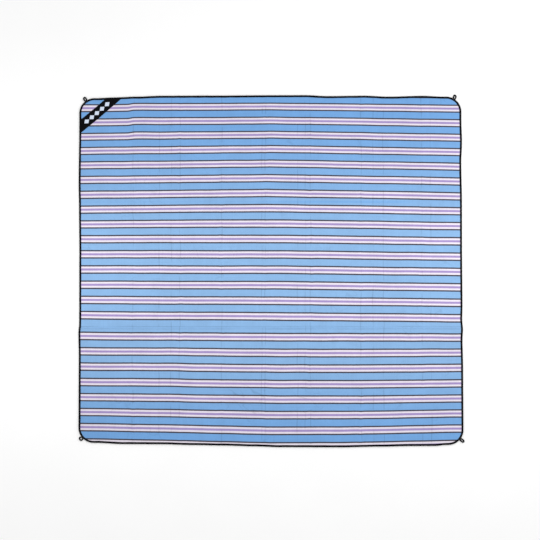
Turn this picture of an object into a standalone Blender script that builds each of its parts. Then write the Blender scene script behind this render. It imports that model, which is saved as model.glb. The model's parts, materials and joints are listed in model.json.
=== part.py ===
"""Padded camp blanket that folds in three, lying open. Blender 4.5, metres, +Z up.

The blanket lies on the plane z = 0 with its striped cloth up. X runs along the stripes, the back edge
is towards +Y and the front edge towards -Y. It is a sandwich of three layers with a binding tape
folded round its edge: a waterproof backing, a soft padding and a cloth. Two fold lines along X divide
it into a back, a middle and a front part. Each layer and each run of binding is one object per part,
so that the parts can turn about the fold lines. A cord loop for a tent peg is sewn under the binding
at each rounded corner, and a webbing band crosses the back left corner.

Outlines are rings: a rounded rectangle, inset from the edge of the blanket by some distance and at
some height. Every layer and the binding are skinned from a short profile of (inset, height) points.
"""

import math

import bmesh
import bpy
from mathutils import Matrix, Vector

# The whole blanket, over its binding
WIDTH = 2.20
LENGTH = 2.01
# The radius of each corner, by its sign along X and Y
CORNER_RADII = {(1, 1): 0.087, (-1, 1): 0.105, (-1, -1): 0.122, (1, -1): 0.087}
CORNER_STEPS = 10

# Fold lines. Each axis is above the cloth, so that the folded part lands clear of what is under it:
# the front part folds onto the middle first, and the back part lies on the folded front part.
BACK_FOLD_Y = 0.383
BACK_FOLD_HEIGHT = 0.014
FRONT_FOLD_Y = -0.334
FRONT_FOLD_HEIGHT = 0.008
FOLD_CLEARANCE = 0.0005

# Layers, from the ground up
GAP = 0.0003
BACKING_THICKNESS = 0.0005
PADDING_THICKNESS = 0.0032
PINCHED_PADDING_THICKNESS = 0.0020
CLOTH_THICKNESS = 0.0009
SEAM_WIDTH = 0.012
SEAM_RISE = 0.0004

# Binding tape, folded round the edge as a U with its legs inwards
TAPE_THICKNESS = 0.0007
BINDING_LEG = 0.0115
BINDING_HEIGHT = 0.0060
BINDING_ROUNDING = 0.0018
LAYER_INSET = 0.0022
SLOPE_END = 0.0185

# Webbing band across the back left corner: its centre line's distance from the blanket's centre,
# square to the line, and the line's direction
BAND_DISTANCE = 1.3472
BAND_DIRECTION_DEG = 41.0
BAND_WIDTH = 0.061
BAND_THICKNESS = 0.0006

# Peg loops of cord, which lies slightly flattened. A loop starts and ends at the binding, NECK apart.
CORD_HALF_WIDTH = 0.0039
CORD_HALF_HEIGHT = 0.0029
CORD_SIDES = 8
CORD_HEIGHT = 0.0030
LOOP_NECK = 0.0086
LOOP_STEPS = 31
LOOP_HINGE_HEIGHT = 0.0063
LOOP_CLEARANCE = 0.0005

# For each corner: its sign along X and Y, the bearing of the loop round the corner's arc, how far
# the loop reaches out, how full it is, and how far its tip leans to the left, seen from its root
LOOPS = {
    "back_left": {"sign": (-1, 1), "bearing": 124, "reach": 0.0215, "fullness": 0.0075, "lean": 0.0},
    "back_right": {"sign": (1, 1), "bearing": 59, "reach": 0.0215, "fullness": 0.0075, "lean": 0.0045},
    "front_left": {"sign": (-1, -1), "bearing": 221, "reach": 0.0170, "fullness": 0.0120, "lean": 0.0},
    "front_right": {"sign": (1, -1), "bearing": 322, "reach": 0.0250, "fullness": 0.0055, "lean": 0.0},
}

# Colour, roughness
FINISHES = {
    "striped_cloth": ((0.30, 0.52, 0.80), 0.85),
    "padding": ((0.85, 0.85, 0.83), 0.95),
    "backing": ((0.045, 0.047, 0.052), 0.45),
    "binding": ((0.012, 0.012, 0.014), 0.75),
    "band": ((0.010, 0.010, 0.012), 0.70),
    "cord": ((0.012, 0.012, 0.013), 0.65),
}


def clear_scene():
    for old in list(bpy.data.objects):
        bpy.data.objects.remove(old, do_unlink=True)


def finish_material(name):
    found = bpy.data.materials.get(name)
    if found:
        return found
    colour, roughness = FINISHES[name]
    material = bpy.data.materials.new(name)
    material.use_nodes = True
    shader = material.node_tree.nodes["Principled BSDF"]
    shader.inputs["Base Color"].default_value = (*colour, 1.0)
    shader.inputs["Roughness"].default_value = roughness
    shader.inputs["Metallic"].default_value = 0.0
    return material


def axis_empty(name, place, turn=0.0):
    empty = bpy.data.objects.new(name, None)
    empty.location = place
    empty.rotation_euler = (0.0, 0.0, turn)
    empty.empty_display_size = 0.05
    bpy.context.scene.collection.objects.link(empty)
    return empty


def add_object(name, bm, finish, axis=None):
    """Makes an object from a mesh given in world coordinates, with its origin on its fold axis."""
    if axis:
        bm.transform(Matrix.Translation(-axis.location))
    bmesh.ops.recalc_face_normals(bm, faces=bm.faces)
    mesh = bpy.data.meshes.new(name)
    bm.to_mesh(mesh)
    bm.free()
    mesh.materials.append(finish_material(finish))
    made = bpy.data.objects.new(name, mesh)
    made.parent = axis
    bpy.context.scene.collection.objects.link(made)
    return made


def outline(inset):
    """Points round a rounded rectangle that lies this far inside the blanket's edge."""
    points = []
    for quarter, ((sx, sy), radius) in enumerate(CORNER_RADII.items()):
        centre = Vector((sx * (WIDTH / 2 - radius), sy * (LENGTH / 2 - radius)))
        for step in range(CORNER_STEPS + 1):
            angle = (quarter + step / CORNER_STEPS) * math.pi / 2
            points.append(centre + (radius - inset) * Vector((math.cos(angle), math.sin(angle))))
    return points


def skin(profile, closed):
    """Skins rings through a profile of (inset, height) points: closed for a tube that goes round the
    edge, or open with flat caps inside its first and last ring for a layer."""
    bm = bmesh.new()
    rings = []
    for inset, height in profile:
        rings.append([bm.verts.new((p.x, p.y, height)) for p in outline(inset)])
    pairs = list(zip(rings, rings[1:]))
    if closed:
        pairs.append((rings[-1], rings[0]))
    for lower, upper in pairs:
        for i in range(len(lower)):
            bm.faces.new((lower[i - 1], lower[i], upper[i], upper[i - 1]))
    if not closed:
        bm.faces.new(rings[0])
        bm.faces.new(rings[-1])
    return bm


def cut(bm, point, direction):
    """Cuts off what lies past the plane through point, on the side that direction points to."""
    everything = bm.verts[:] + bm.edges[:] + bm.faces[:]
    sliced = bmesh.ops.bisect_plane(
        bm, geom=everything, plane_co=point, plane_no=direction, clear_outer=True
    )
    rim = [e for e in sliced["geom_cut"] if isinstance(e, bmesh.types.BMEdge)]
    bmesh.ops.holes_fill(bm, edges=rim)
    return bm


def back_part(bm):
    return cut(bm, (0, BACK_FOLD_Y + FOLD_CLEARANCE, 0), (0, -1, 0))


def middle_part(bm, front_limit=FRONT_FOLD_Y + FOLD_CLEARANCE):
    cut(bm, (0, BACK_FOLD_Y - FOLD_CLEARANCE, 0), (0, 1, 0))
    return cut(bm, (0, front_limit, 0), (0, -1, 0))


def front_part(bm):
    return cut(bm, (0, FRONT_FOLD_Y - FOLD_CLEARANCE, 0), (0, 1, 0))


def layer(low, high, pinched_low, pinched_high):
    """A layer between two heights, pinched between two other heights inside the binding."""
    rim = BINDING_LEG + GAP
    return skin(
        [
            (SLOPE_END, low),
            (rim, pinched_low),
            (LAYER_INSET, pinched_low),
            (LAYER_INSET, pinched_high),
            (rim, pinched_high),
            (SLOPE_END, high),
        ],
        closed=False,
    )


def layer_levels():
    """Name, finish and the four heights of each layer, stacked from the ground up."""
    levels = []
    low = 0.0
    pinched_low = TAPE_THICKNESS + GAP
    for name, finish, thickness, pinched in (
        ("backing", "backing", BACKING_THICKNESS, BACKING_THICKNESS),
        ("padding", "padding", PADDING_THICKNESS, PINCHED_PADDING_THICKNESS),
        ("top_cloth", "striped_cloth", CLOTH_THICKNESS, CLOTH_THICKNESS),
    ):
        heights = (low, low + thickness, pinched_low, pinched_low + pinched)
        levels.append((name, finish, heights))
        low = heights[1] + GAP
        pinched_low = heights[3] + GAP
    return levels


def make_layers(back_axis, front_axis):
    for name, finish, heights in layer_levels():
        add_object(f"{name}_back", back_part(layer(*heights)), finish, back_axis)
        seam_edge = FRONT_FOLD_Y + FOLD_CLEARANCE + SEAM_WIDTH + GAP
        add_object(f"{name}_middle", middle_part(layer(*heights), seam_edge), finish)
        add_object(f"{name}_front", front_part(layer(*heights)), finish, front_axis)


def make_panel_seam():
    """The sewn joint between the long panel and the short panel: all the layers of both, folded
    together into a flat strip just behind the front fold line."""
    levels = layer_levels()
    cloth_top = levels[-1][2][1]
    pinched_low = levels[0][2][2]
    pinched_high = levels[-1][2][3]
    strip = layer(0.0, cloth_top + SEAM_RISE, pinched_low, pinched_high)
    cut(strip, (0, FRONT_FOLD_Y + FOLD_CLEARANCE + SEAM_WIDTH, 0), (0, 1, 0))
    cut(strip, (0, FRONT_FOLD_Y + FOLD_CLEARANCE, 0), (0, -1, 0))
    add_object("panel_seam", strip, "striped_cloth")


def binding_ring():
    """The tape's U profile, swept round the whole edge. Its bend is rounded with short flats."""
    tape = TAPE_THICKNESS
    top = BINDING_HEIGHT
    bend = BINDING_ROUNDING
    outside = [
        (BINDING_LEG, 0.0),
        (bend, 0.0),
        (bend * 0.3, bend * 0.3),
        (0.0, bend),
        (0.0, top - bend),
        (bend * 0.3, top - bend * 0.3),
        (bend, top),
        (BINDING_LEG, top),
    ]
    inside = [
        (BINDING_LEG, top - tape),
        (bend, top - tape),
        (tape, top - bend),
        (tape, bend),
        (bend, tape),
        (BINDING_LEG, tape),
    ]
    return skin(outside + inside, closed=True)


def make_binding(back_axis, front_axis):
    add_object("binding_back", back_part(binding_ring()), "binding", back_axis)
    add_object("binding_front", front_part(binding_ring()), "binding", front_axis)
    for side, sign in (("left", -1), ("right", 1)):
        run = cut(middle_part(binding_ring()), (0, 0, 0), (-sign, 0, 0))
        add_object(f"binding_middle_{side}", run, "binding")


def make_corner_band(back_axis):
    """Webbing laid over the cloth, from the left binding to the back binding."""
    angle = math.radians(BAND_DIRECTION_DEG)
    outward = Vector((-math.sin(angle), math.cos(angle), 0.0))
    bottom = layer_levels()[-1][2][1] + GAP
    edge = BINDING_LEG + GAP
    plate = skin([(edge, bottom), (edge, bottom + BAND_THICKNESS)], closed=False)
    cut(plate, outward * (BAND_DISTANCE + BAND_WIDTH / 2), outward)
    cut(plate, outward * (BAND_DISTANCE - BAND_WIDTH / 2), -outward)
    add_object("corner_band", plate, "band", back_axis)


def loop_point(reach, fullness, lean, share):
    """The cord's centre line at a share of its way round, as (out, across) from the loop's root."""
    out = math.sin(share * math.pi)
    across = math.cos(share * math.pi) * (LOOP_NECK / 2 + fullness * out)
    return Vector((LOOP_CLEARANCE + (reach - LOOP_CLEARANCE) * out, across + lean * out * out, 0.0))


def make_peg_loop(name, sign, bearing, reach, fullness, lean):
    """A loop of cord whose hinge axis is tangent to the corner's outer edge, above the binding."""
    turn = math.radians(bearing)
    outward = Vector((math.cos(turn), math.sin(turn), 0.0))
    radius = CORNER_RADII[sign]
    centre = Vector((sign[0] * (WIDTH / 2 - radius), sign[1] * (LENGTH / 2 - radius), 0.0))
    hinge = centre + outward * radius + Vector((0.0, 0.0, LOOP_HINGE_HEIGHT))
    axis = axis_empty(f"{name}_axis", hinge, turn)
    up = Vector((0.0, 0.0, 1.0))
    bm = bmesh.new()
    rings = []
    for step in range(LOOP_STEPS + 1):
        here = loop_point(reach, fullness, lean, step / LOOP_STEPS)
        before = loop_point(reach, fullness, lean, (step - 0.5) / LOOP_STEPS)
        after = loop_point(reach, fullness, lean, (step + 0.5) / LOOP_STEPS)
        along = (after - before).normalized()
        if step in (0, LOOP_STEPS):
            along = Vector((1.0 if step == 0 else -1.0, 0.0, 0.0))
        side = along.cross(up)
        ring = []
        for k in range(CORD_SIDES):
            angle = (k + 0.5) * math.tau / CORD_SIDES
            height = CORD_HEIGHT - LOOP_HINGE_HEIGHT + CORD_HALF_HEIGHT * math.sin(angle)
            spot = here + CORD_HALF_WIDTH * math.cos(angle) * side
            ring.append(bm.verts.new(spot + height * up))
        rings.append(ring)
    for first, second in zip(rings, rings[1:]):
        for k in range(CORD_SIDES):
            bm.faces.new((first[k - 1], first[k], second[k], second[k - 1]))
    bm.faces.new(rings[0])
    bm.faces.new(rings[-1])
    made = add_object(name, bm, "cord")
    made.parent = axis
    made.data.shade_smooth()
    made.data.set_sharp_from_angle(angle=math.radians(60))


def make_blanket():
    clear_scene()
    back_axis = axis_empty("back_fold_axis", (0.0, BACK_FOLD_Y, BACK_FOLD_HEIGHT))
    front_axis = axis_empty("front_fold_axis", (0.0, FRONT_FOLD_Y, FRONT_FOLD_HEIGHT))
    make_layers(back_axis, front_axis)
    make_panel_seam()
    make_binding(back_axis, front_axis)
    make_corner_band(back_axis)
    for corner, loop in LOOPS.items():
        make_peg_loop(f"peg_loop_{corner}", **loop)


make_blanket()
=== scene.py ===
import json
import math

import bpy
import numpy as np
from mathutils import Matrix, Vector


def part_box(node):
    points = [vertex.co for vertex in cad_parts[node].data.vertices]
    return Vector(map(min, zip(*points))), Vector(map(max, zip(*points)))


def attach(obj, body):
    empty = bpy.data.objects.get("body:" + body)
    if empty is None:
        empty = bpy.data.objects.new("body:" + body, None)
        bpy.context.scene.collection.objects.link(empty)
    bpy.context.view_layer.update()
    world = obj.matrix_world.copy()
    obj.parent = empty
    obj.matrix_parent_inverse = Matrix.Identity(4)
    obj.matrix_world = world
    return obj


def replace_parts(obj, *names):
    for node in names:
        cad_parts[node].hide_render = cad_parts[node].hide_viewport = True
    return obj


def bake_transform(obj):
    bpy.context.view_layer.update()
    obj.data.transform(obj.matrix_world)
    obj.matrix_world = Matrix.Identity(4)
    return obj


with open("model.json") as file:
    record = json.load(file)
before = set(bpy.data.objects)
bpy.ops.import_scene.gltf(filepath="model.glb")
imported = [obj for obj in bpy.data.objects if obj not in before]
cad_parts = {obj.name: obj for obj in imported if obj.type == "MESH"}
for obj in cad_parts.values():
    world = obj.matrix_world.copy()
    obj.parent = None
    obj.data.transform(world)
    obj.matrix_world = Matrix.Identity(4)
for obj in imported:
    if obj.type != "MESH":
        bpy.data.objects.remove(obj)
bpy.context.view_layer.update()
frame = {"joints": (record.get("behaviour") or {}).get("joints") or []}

# Looks of a padded camp blanket, lying open on a pale studio floor. Metres, +Z up. X runs along the
# stripes, +Y is the back edge. Every layer is made flat, as (x, y) spots with a height profile that
# depends on how far they are from the edge, and lay() then gives the spot its place in the room: the
# edges wander a little, and the blanket doesn't lie quite flat. The folds of the blanket are the CAD's.

JOINTS = {joint["name"]: joint for joint in frame["joints"]}

# -------- sizes taken from the frame
HALF_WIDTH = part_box("binding_back")[1].x
HALF_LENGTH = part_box("binding_back")[1].y
BINDING_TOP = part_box("binding_back")[1].z
SEAM_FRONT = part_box("panel_seam")[0].y
SEAM_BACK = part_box("panel_seam")[1].y
SEAM_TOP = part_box("panel_seam")[1].z
BACKING_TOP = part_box("backing_back")[1].z
PADDING_LOW, PADDING_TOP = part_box("padding_back")[0].z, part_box("padding_back")[1].z
CLOTH_LOW, CLOTH_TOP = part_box("top_cloth_back")[0].z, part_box("top_cloth_back")[1].z
LAYER_INSET = HALF_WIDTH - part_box("top_cloth_back")[1].x
BACK_FOLD_Y = JOINTS["back_fold"]["pos_m"][1]
FRONT_FOLD_Y = JOINTS["front_fold"]["pos_m"][1]

# -------- sizes of the real object
# The corners before lay() moves the edges, which makes each corner a little different
CORNER_RADIUS = 0.087
CORNER_X, CORNER_Y = HALF_WIDTH - CORNER_RADIUS, HALF_LENGTH - CORNER_RADIUS
BINDING_LEG = 0.0115
TAPE_THICKNESS = 0.0007
PINCHED_CLOTH = (0.0041, 0.0050)
PINCHED_PADDING = (0.0018, 0.0038)
PINCHED_BACKING = (0.0010, 0.0015)
SLOPE_END = 0.0185
STITCH_INSET = BINDING_LEG - 0.0022
STITCH_LENGTH = 0.0036
STITCH_PITCH = 0.005
PANEL_GAP = 0.0004

# How far from each fold line the fabric bends
BACK_BEND = 0.017
FRONT_BEND = SEAM_BACK - FRONT_FOLD_Y

# Mesh spacing: across the blanket, and across the strips that bend
CLOTH_STEP = 0.011
PADDING_STEP = 0.015
BEND_STEP = 0.0016
CORNER_STEPS = 12

# The stripe repeat, from the middle of a group of lines outwards
STRIPE_REPEAT = 0.0894
PURPLE_HALF = 0.0062
WHITE_HALF = 0.0173
DARK_HALF = 0.0256
LONG_PANEL_PHASE = 0.0840
SHORT_PANEL_PHASE = 0.0237

# The weave isn't square to the panels, and is drawn together towards the back edge. Each pair is a
# place along Y and how far the stripes are lifted there, at the blanket's left or right edge.
LEFT_LIFT = (
    (-1.0, 0.024), (-0.60, 0.012), (-0.345, 0.006), (-0.30, 0.007), (0.05, 0.001), (0.45, -0.0105),
    (0.75, -0.0125), (1.0, -0.008),
)
RIGHT_LIFT = (
    (-1.0, 0.012), (-0.60, 0.0015), (-0.345, -0.003), (-0.315, -0.0105), (0.10, -0.0145),
    (0.45, -0.0195), (0.75, -0.020), (1.0, -0.013),
)
LIFT_POWER = 1.1
DRAW_START = 0.20
DRAW = 0.0714

# Near the back edge, the leftmost fold puts a jog in the stripes
JOG = ((-1.05, -0.002), (-0.92, -0.003), (-0.83, -0.002), (-0.775, 0.0035), (-0.62, 0.0015), (-0.20, 0.0))
JOG_FROM = 0.70

# The long panel is taken up a little where its padding buckles; the short panel's stripes sag, and
# they lie a little further back at its hem
TAKEN_UP = ((0.0, 0.0), (0.12, 0.0018), (1.0, 0.0021))
SAG = (
    (-1.05, 0.0005), (-0.80, -0.0006), (-0.56, -0.0020), (-0.40, -0.0004), (-0.10, -0.0002),
    (0.10, 0.0012), (0.45, 0.0027), (0.67, 0.0017), (0.80, 0.0002), (1.05, -0.0015),
)
SAG_START = -0.38
HEM_LIFT = ((-0.85, 0.0018), (-0.62, 0.0))

# Where the blanket has been folded for storing, across the stripes, and where it shades itself in the
# shallow valley that the back fold left
CREASES_X = (-0.79, -0.52, -0.28, -0.03, 0.23, 0.52, 0.87)
# Smaller old folds, drawn only as lines of painted crease shade on the cloth
SMALL_CREASES_X = (-0.64, -0.57, -0.05, 0.155, 0.20, 0.59, 0.65, 0.92)
VALLEY_Y = BACK_FOLD_Y + 0.0125
# Where the cloth is painted darker with shadow along the panel seam's two edges
SEAM_SHADOW_EDGES_Y = (SEAM_FRONT - 0.0012, SEAM_BACK + 0.0012)
# Where the cloth has been crumpled, and the crinkles' painted shade is clearest: (across, along, how far it
# reaches)
CRUMPLED = ((-0.15, -0.74, 0.15), (0.21, -0.74, 0.10))

# How far each edge wanders outwards, by place along it
BACK_EDGE = (
    (-1.0, -0.010), (-0.91, -0.006), (-0.77, -0.001), (-0.63, 0.004), (-0.30, 0.005), (0.0, 0.007),
    (0.20, 0.0075), (0.33, 0.002), (0.54, 0.0045), (0.68, -0.001), (0.88, 0.0035), (1.0, -0.001),
)
FRONT_EDGE = (
    (-1.0, -0.020), (-0.84, -0.013), (-0.63, -0.012), (-0.43, -0.0075), (-0.28, -0.005),
    (-0.08, 0.0), (0.05, 0.0045), (0.40, 0.0055), (0.61, 0.0015), (0.82, -0.002),
    (0.94, -0.0025), (1.0, -0.008),
)
LEFT_EDGE = (
    (-1.0, -0.002), (-0.50, -0.002), (-0.36, 0.001), (-0.30, -0.003), (0.10, -0.002), (0.35, 0.001),
    (0.50, 0.004), (0.81, 0.002), (1.0, 0.002),
)
RIGHT_EDGE = (
    (-1.0, 0.004), (-0.55, 0.0035), (-0.40, 0.001), (-0.34, 0.004), (-0.28, 0.000), (-0.20, 0.002),
    (0.10, 0.001), (0.40, 0.002), (0.62, -0.001), (0.74, 0.004), (0.86, 0.001), (1.0, 0.001),
)
EDGE_REACH = 0.30

# How the blanket lies: the most that it rises off the floor, and the height of an old crease
MOST_LIFT = 0.0026
CREASE_HEIGHT = 0.0008
CREASE_WIDTH = 0.008
CREASE_WANDER = 0.006
PUCKER_HEIGHT = 0.0005


# -------- small tools
def smooth(t):
    """Eases from 0 to 1 while t goes from 0 to 1."""
    t = np.clip(t, 0.0, 1.0)
    return t * t * (3.0 - 2.0 * t)


def eased(place, knots):
    """Reads a list of (place, value) knots, easing from each knot to the next."""
    places = [knot[0] for knot in knots]
    values = np.array([knot[1] for knot in knots])
    at = np.clip(place, places[0], places[-1])
    k = np.clip(np.searchsorted(places, at) - 1, 0, len(places) - 2)
    lengths = np.diff(places)
    share = smooth((at - np.take(places, k)) / lengths[k])
    return values[k] + (values[k + 1] - values[k]) * share


def spaced(start, stop, step):
    """Places from start up to, but not at, stop, no further apart than step."""
    return list(np.linspace(start, stop, math.ceil(abs(stop - start) / step) + 1)[:-1])


WAVES = 9


def ripples(x, y, length, seed):
    """Smooth irregular waves of about this length, from -1 to 1."""
    rng = np.random.default_rng(seed)
    total = np.zeros(np.broadcast(x, y).shape)
    for _ in range(WAVES):
        turn, phase, stretch = rng.uniform(0, math.tau), rng.uniform(0, math.tau), rng.uniform(0.7, 1.5)
        along = x * math.cos(turn) + y * math.sin(turn)
        total = total + np.sin(along * math.tau / (length * stretch) + phase)
    return np.clip(total / (1.364 * WAVES ** 0.5), -1.0, 1.0)


def strip_quads(cells):
    """Quads between neighbouring rows of a grid of point numbers."""
    quads = np.stack([cells[:-1, :-1], cells[:-1, 1:], cells[1:, 1:], cells[1:, :-1]], axis=-1)
    return quads.reshape(-1, 4)


def add_object(name, data):
    made = bpy.data.objects.new(name, data)
    bpy.context.scene.collection.objects.link(made)
    return made


def flat_square(name, half):
    mesh = bpy.data.meshes.new(name)
    mesh.from_pydata([(-half, -half, 0), (half, -half, 0), (half, half, 0), (-half, half, 0)], [], [range(4)])
    return add_object(name, mesh)


# -------- how the blanket lies on the floor
def inset_at(x, y):
    """How far a flat spot lies inside the blanket's edge."""
    qx, qy = np.abs(x) - CORNER_X, np.abs(y) - CORNER_Y
    outside = np.hypot(np.maximum(qx, 0.0), np.maximum(qy, 0.0))
    return CORNER_RADIUS - outside - np.minimum(np.maximum(qx, qy), 0.0)


def half_width(y, inset):
    """Half the width, this far inside the edge, of a line across the blanket at y."""
    radius = CORNER_RADIUS - inset
    past = np.clip(np.abs(y) - CORNER_Y, 0.0, radius)
    return CORNER_X + np.sqrt(radius ** 2 - past ** 2)


def crease_line(k, y):
    """Where an old fold across the stripes runs, at this place along Y."""
    return CREASES_X[k] + CREASE_WANDER * np.sin(y * 5.0 + 2.0 * k)


def creased(x, y):
    """Height of the ridges and valleys that folding left behind, as shares of a ridge's height."""
    height = np.zeros(np.broadcast(x, y).shape)
    for k in range(len(CREASES_X)):
        strength = 0.65 + 0.35 * ripples(y, 0.0 * x + k, 0.35, 40 + k)
        height = height + strength * np.exp(-(((x - crease_line(k, y)) / CREASE_WIDTH) ** 2))
    for k, place in enumerate((BACK_FOLD_Y, FRONT_FOLD_Y)):
        strength = 0.6 + 0.4 * ripples(x, 0.0 * y + k, 0.4, 60 + k)
        height = height + strength * np.exp(-(((y - place) / CREASE_WIDTH) ** 2))
    return np.clip(height, 0.0, 1.2)


# The cloth simulation: its grid, how long it runs, and how high the old folds stand at its start
REST_STEP = 0.030
REST_FRAMES = 36
FOLD_START = 0.016
CLOTH_SETTINGS = {
    "quality": 6, "mass": 0.4, "tension_stiffness": 20.0, "compression_stiffness": 20.0,
    "shear_stiffness": 10.0, "bending_stiffness": 6.0, "air_damping": 4.0,
}


def zigzag(x, y):
    """The blanket just after it has been opened: still standing up a little along its old folds."""
    edges = np.array([-HALF_WIDTH, *CREASES_X, HALF_WIDTH])
    height = np.interp(x, edges, [0.0, 1.0, 0.1, 0.9, 0.0, 0.8, 0.1, 1.0, 0.2])
    folds = np.array([-HALF_LENGTH, FRONT_FOLD_Y, 0.0, BACK_FOLD_Y, HALF_LENGTH])
    return height * 0.6 + np.interp(y, folds, [0.0, 1.0, 0.1, 0.8, 0.1]) * 0.4


def cloth_sheet(xs, ys):
    """A plain sheet of quads over the whole blanket, in the shape it has just after opening."""
    gx, gy = np.meshgrid(xs, ys)
    start = FOLD_START * zigzag(gx, gy) + 0.004 * (1.0 + ripples(gx, gy, 0.5, 7)) + 0.003
    points = np.stack([gx, gy, start], axis=-1).reshape(-1, 3)
    cells = np.arange(len(ys) * len(xs)).reshape(len(ys), len(xs))
    mesh = bpy.data.meshes.new("resting_sheet")
    mesh.from_pydata(points.tolist(), [], strip_quads(cells).tolist())
    return add_object("resting_sheet", mesh)


def settle(xs, ys):
    """Lets the opened blanket come to rest on a floor, and gives the height of each of its spots."""
    sheet = cloth_sheet(xs, ys)
    ground = flat_square("resting_ground", 3)
    ground.modifiers.new("Collision", "COLLISION")
    ground.collision.thickness_outer = 0.001
    ground.collision.cloth_friction = 20.0
    cloth = sheet.modifiers.new("Cloth", "CLOTH")
    for key, value in CLOTH_SETTINGS.items():
        setattr(cloth.settings, key, value)
    cloth.collision_settings.distance_min = 0.001
    cloth.collision_settings.collision_quality = 3
    scene = bpy.context.scene
    cloth.point_cache.frame_start = 1
    cloth.point_cache.frame_end = REST_FRAMES
    for step in range(1, REST_FRAMES + 1):
        scene.frame_set(step)
    settled = sheet.evaluated_get(bpy.context.evaluated_depsgraph_get())
    heights = np.array([v.co.z for v in settled.data.vertices]).reshape(len(ys), len(xs))
    scene.frame_set(1)
    bpy.data.objects.remove(sheet)
    bpy.data.objects.remove(ground)
    return heights


def softened(heights, rounds):
    """Averages each spot with its neighbours, as the padding's stiffness does."""
    for _ in range(rounds):
        edge = np.pad(heights, 1, mode="edge")
        beside = edge[:-2, 1:-1] + edge[2:, 1:-1] + edge[1:-1, :-2] + edge[1:-1, 2:]
        heights = 0.5 * heights + 0.125 * beside
    return heights


def resting_heights():
    """The grid of heights that lift_at() reads, capped so that the folded blanket keeps its gaps."""
    xs = np.linspace(-HALF_WIDTH, HALF_WIDTH, round(2 * HALF_WIDTH / REST_STEP) + 1)
    ys = np.linspace(-HALF_LENGTH, HALF_LENGTH, round(2 * HALF_LENGTH / REST_STEP) + 1)
    heights = settle(xs, ys)
    heights = softened(heights - np.percentile(heights, 8), 2)
    return xs, ys, MOST_LIFT * 0.6 * np.tanh(np.clip(heights, 0.0, 1.0) / (MOST_LIFT * 1.5))


REST_X, REST_Y, REST_Z = resting_heights()


def lift_at(x, y):
    """How far a flat spot of the blanket stands off the floor."""
    gx = np.clip((x - REST_X[0]) / (REST_X[1] - REST_X[0]), 0, len(REST_X) - 1.001)
    gy = np.clip((y - REST_Y[0]) / (REST_Y[1] - REST_Y[0]), 0, len(REST_Y) - 1.001)
    ix, iy = gx.astype(int), gy.astype(int)
    tx, ty = smooth(gx - ix), smooth(gy - iy)
    low, high = [REST_Z[row, ix] * (1 - tx) + REST_Z[row, ix + 1] * tx for row in (iy, iy + 1)]
    lift = low * (1 - ty) + high * ty + CREASE_HEIGHT * creased(x, y)
    inset = inset_at(x, y)
    gathers = 0.5 + 0.5 * ripples(x, y, 0.045, 11)
    lift = lift * (0.55 + 0.45 * smooth(inset / 0.08))
    lift = lift + PUCKER_HEIGHT * gathers * np.exp(-np.maximum(inset, 0.0) / 0.030)
    return np.minimum(lift, MOST_LIFT)


def pulled(inside, place, edge):
    """How far an edge takes along the spots that are this far inside it."""
    return smooth(1.0 - inside / EDGE_REACH) * eased(place, edge)


def lay(x, y, z):
    """The place in the room of flat spots at these heights in the blanket."""
    across = pulled(HALF_WIDTH - x, y, RIGHT_EDGE) - pulled(HALF_WIDTH + x, y, LEFT_EDGE)
    along = pulled(HALF_LENGTH - y, x, BACK_EDGE) - pulled(HALF_LENGTH + y, x, FRONT_EDGE)
    return np.stack([x + across, y + along, z + lift_at(x, y)], axis=-1)


def stripe_place(points):
    """Where spots of the laid blanket are in the stripe pattern: (along the stripes, across them)."""
    x, y = points[..., 0], points[..., 1]
    left = eased(y, LEFT_LIFT) * np.clip(-x / HALF_WIDTH, 0.0, 1.0) ** LIFT_POWER
    right = eased(y, RIGHT_LIFT) * np.clip(x / HALF_WIDTH, 0.0, 1.0) ** LIFT_POWER
    drawn = DRAW * np.maximum(y - DRAW_START, 0.0) ** 2
    jog = eased(x, JOG) * smooth((y - JOG_FROM) / 0.10)
    drift = 0.0007 * ripples(x, y * 0.3, 0.16, 91)
    for k in range(len(CREASES_X)):
        beside = (x - crease_line(k, y)) / 0.013
        drift = drift + 0.0012 * ripples(y, 0.0 * x, 0.30, 80 + k) * np.exp(-beside * beside)
    taken = eased(y, TAKEN_UP) - eased(y, HEM_LIFT)
    sag = eased(x, SAG) * smooth((SAG_START - y) / 0.12)
    return np.stack([x, y - left - right - jog + drawn + drift + taken + sag], axis=-1)


# -------- meshes
def add_mesh(name, points, faces, places, material, sharp_deg=40.0):
    """Makes a smooth-shaded mesh object. places are its points' (u, v), in metres."""
    mesh = bpy.data.meshes.new(name)
    mesh.from_pydata(points.reshape(-1, 3).tolist(), [], faces)
    mesh.update()
    corner = np.zeros(len(mesh.loops), dtype=np.int32)
    mesh.loops.foreach_get("vertex_index", corner)
    layer = mesh.uv_layers.new(name="UVMap")
    layer.data.foreach_set("uv", places.reshape(-1, 2)[corner].astype(np.float32).ravel())
    mesh.shade_smooth()
    mesh.set_sharp_from_angle(angle=math.radians(sharp_deg))
    mesh.materials.append(material)
    return add_object(name, mesh)


def closed_sheet(name, cells, top, bottom, places, material):
    """A thin closed solid between two grids of points. cells holds the number of each point."""
    count = cells.size
    rim = np.concatenate([cells[0, :], cells[1:, -1], cells[-1, -2::-1], cells[-2:0:-1, 0]])
    following = np.roll(rim, -1)
    faces = np.concatenate([
        strip_quads(cells), strip_quads(cells)[:, ::-1] + count,
        np.stack([rim, rim + count, following + count, following], axis=-1),
    ])
    points = np.concatenate([top.reshape(-1, 3), bottom.reshape(-1, 3)])
    both = np.concatenate([places.reshape(-1, 2)] * 2)
    return add_mesh(name, points, faces.tolist(), both, material)


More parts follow.
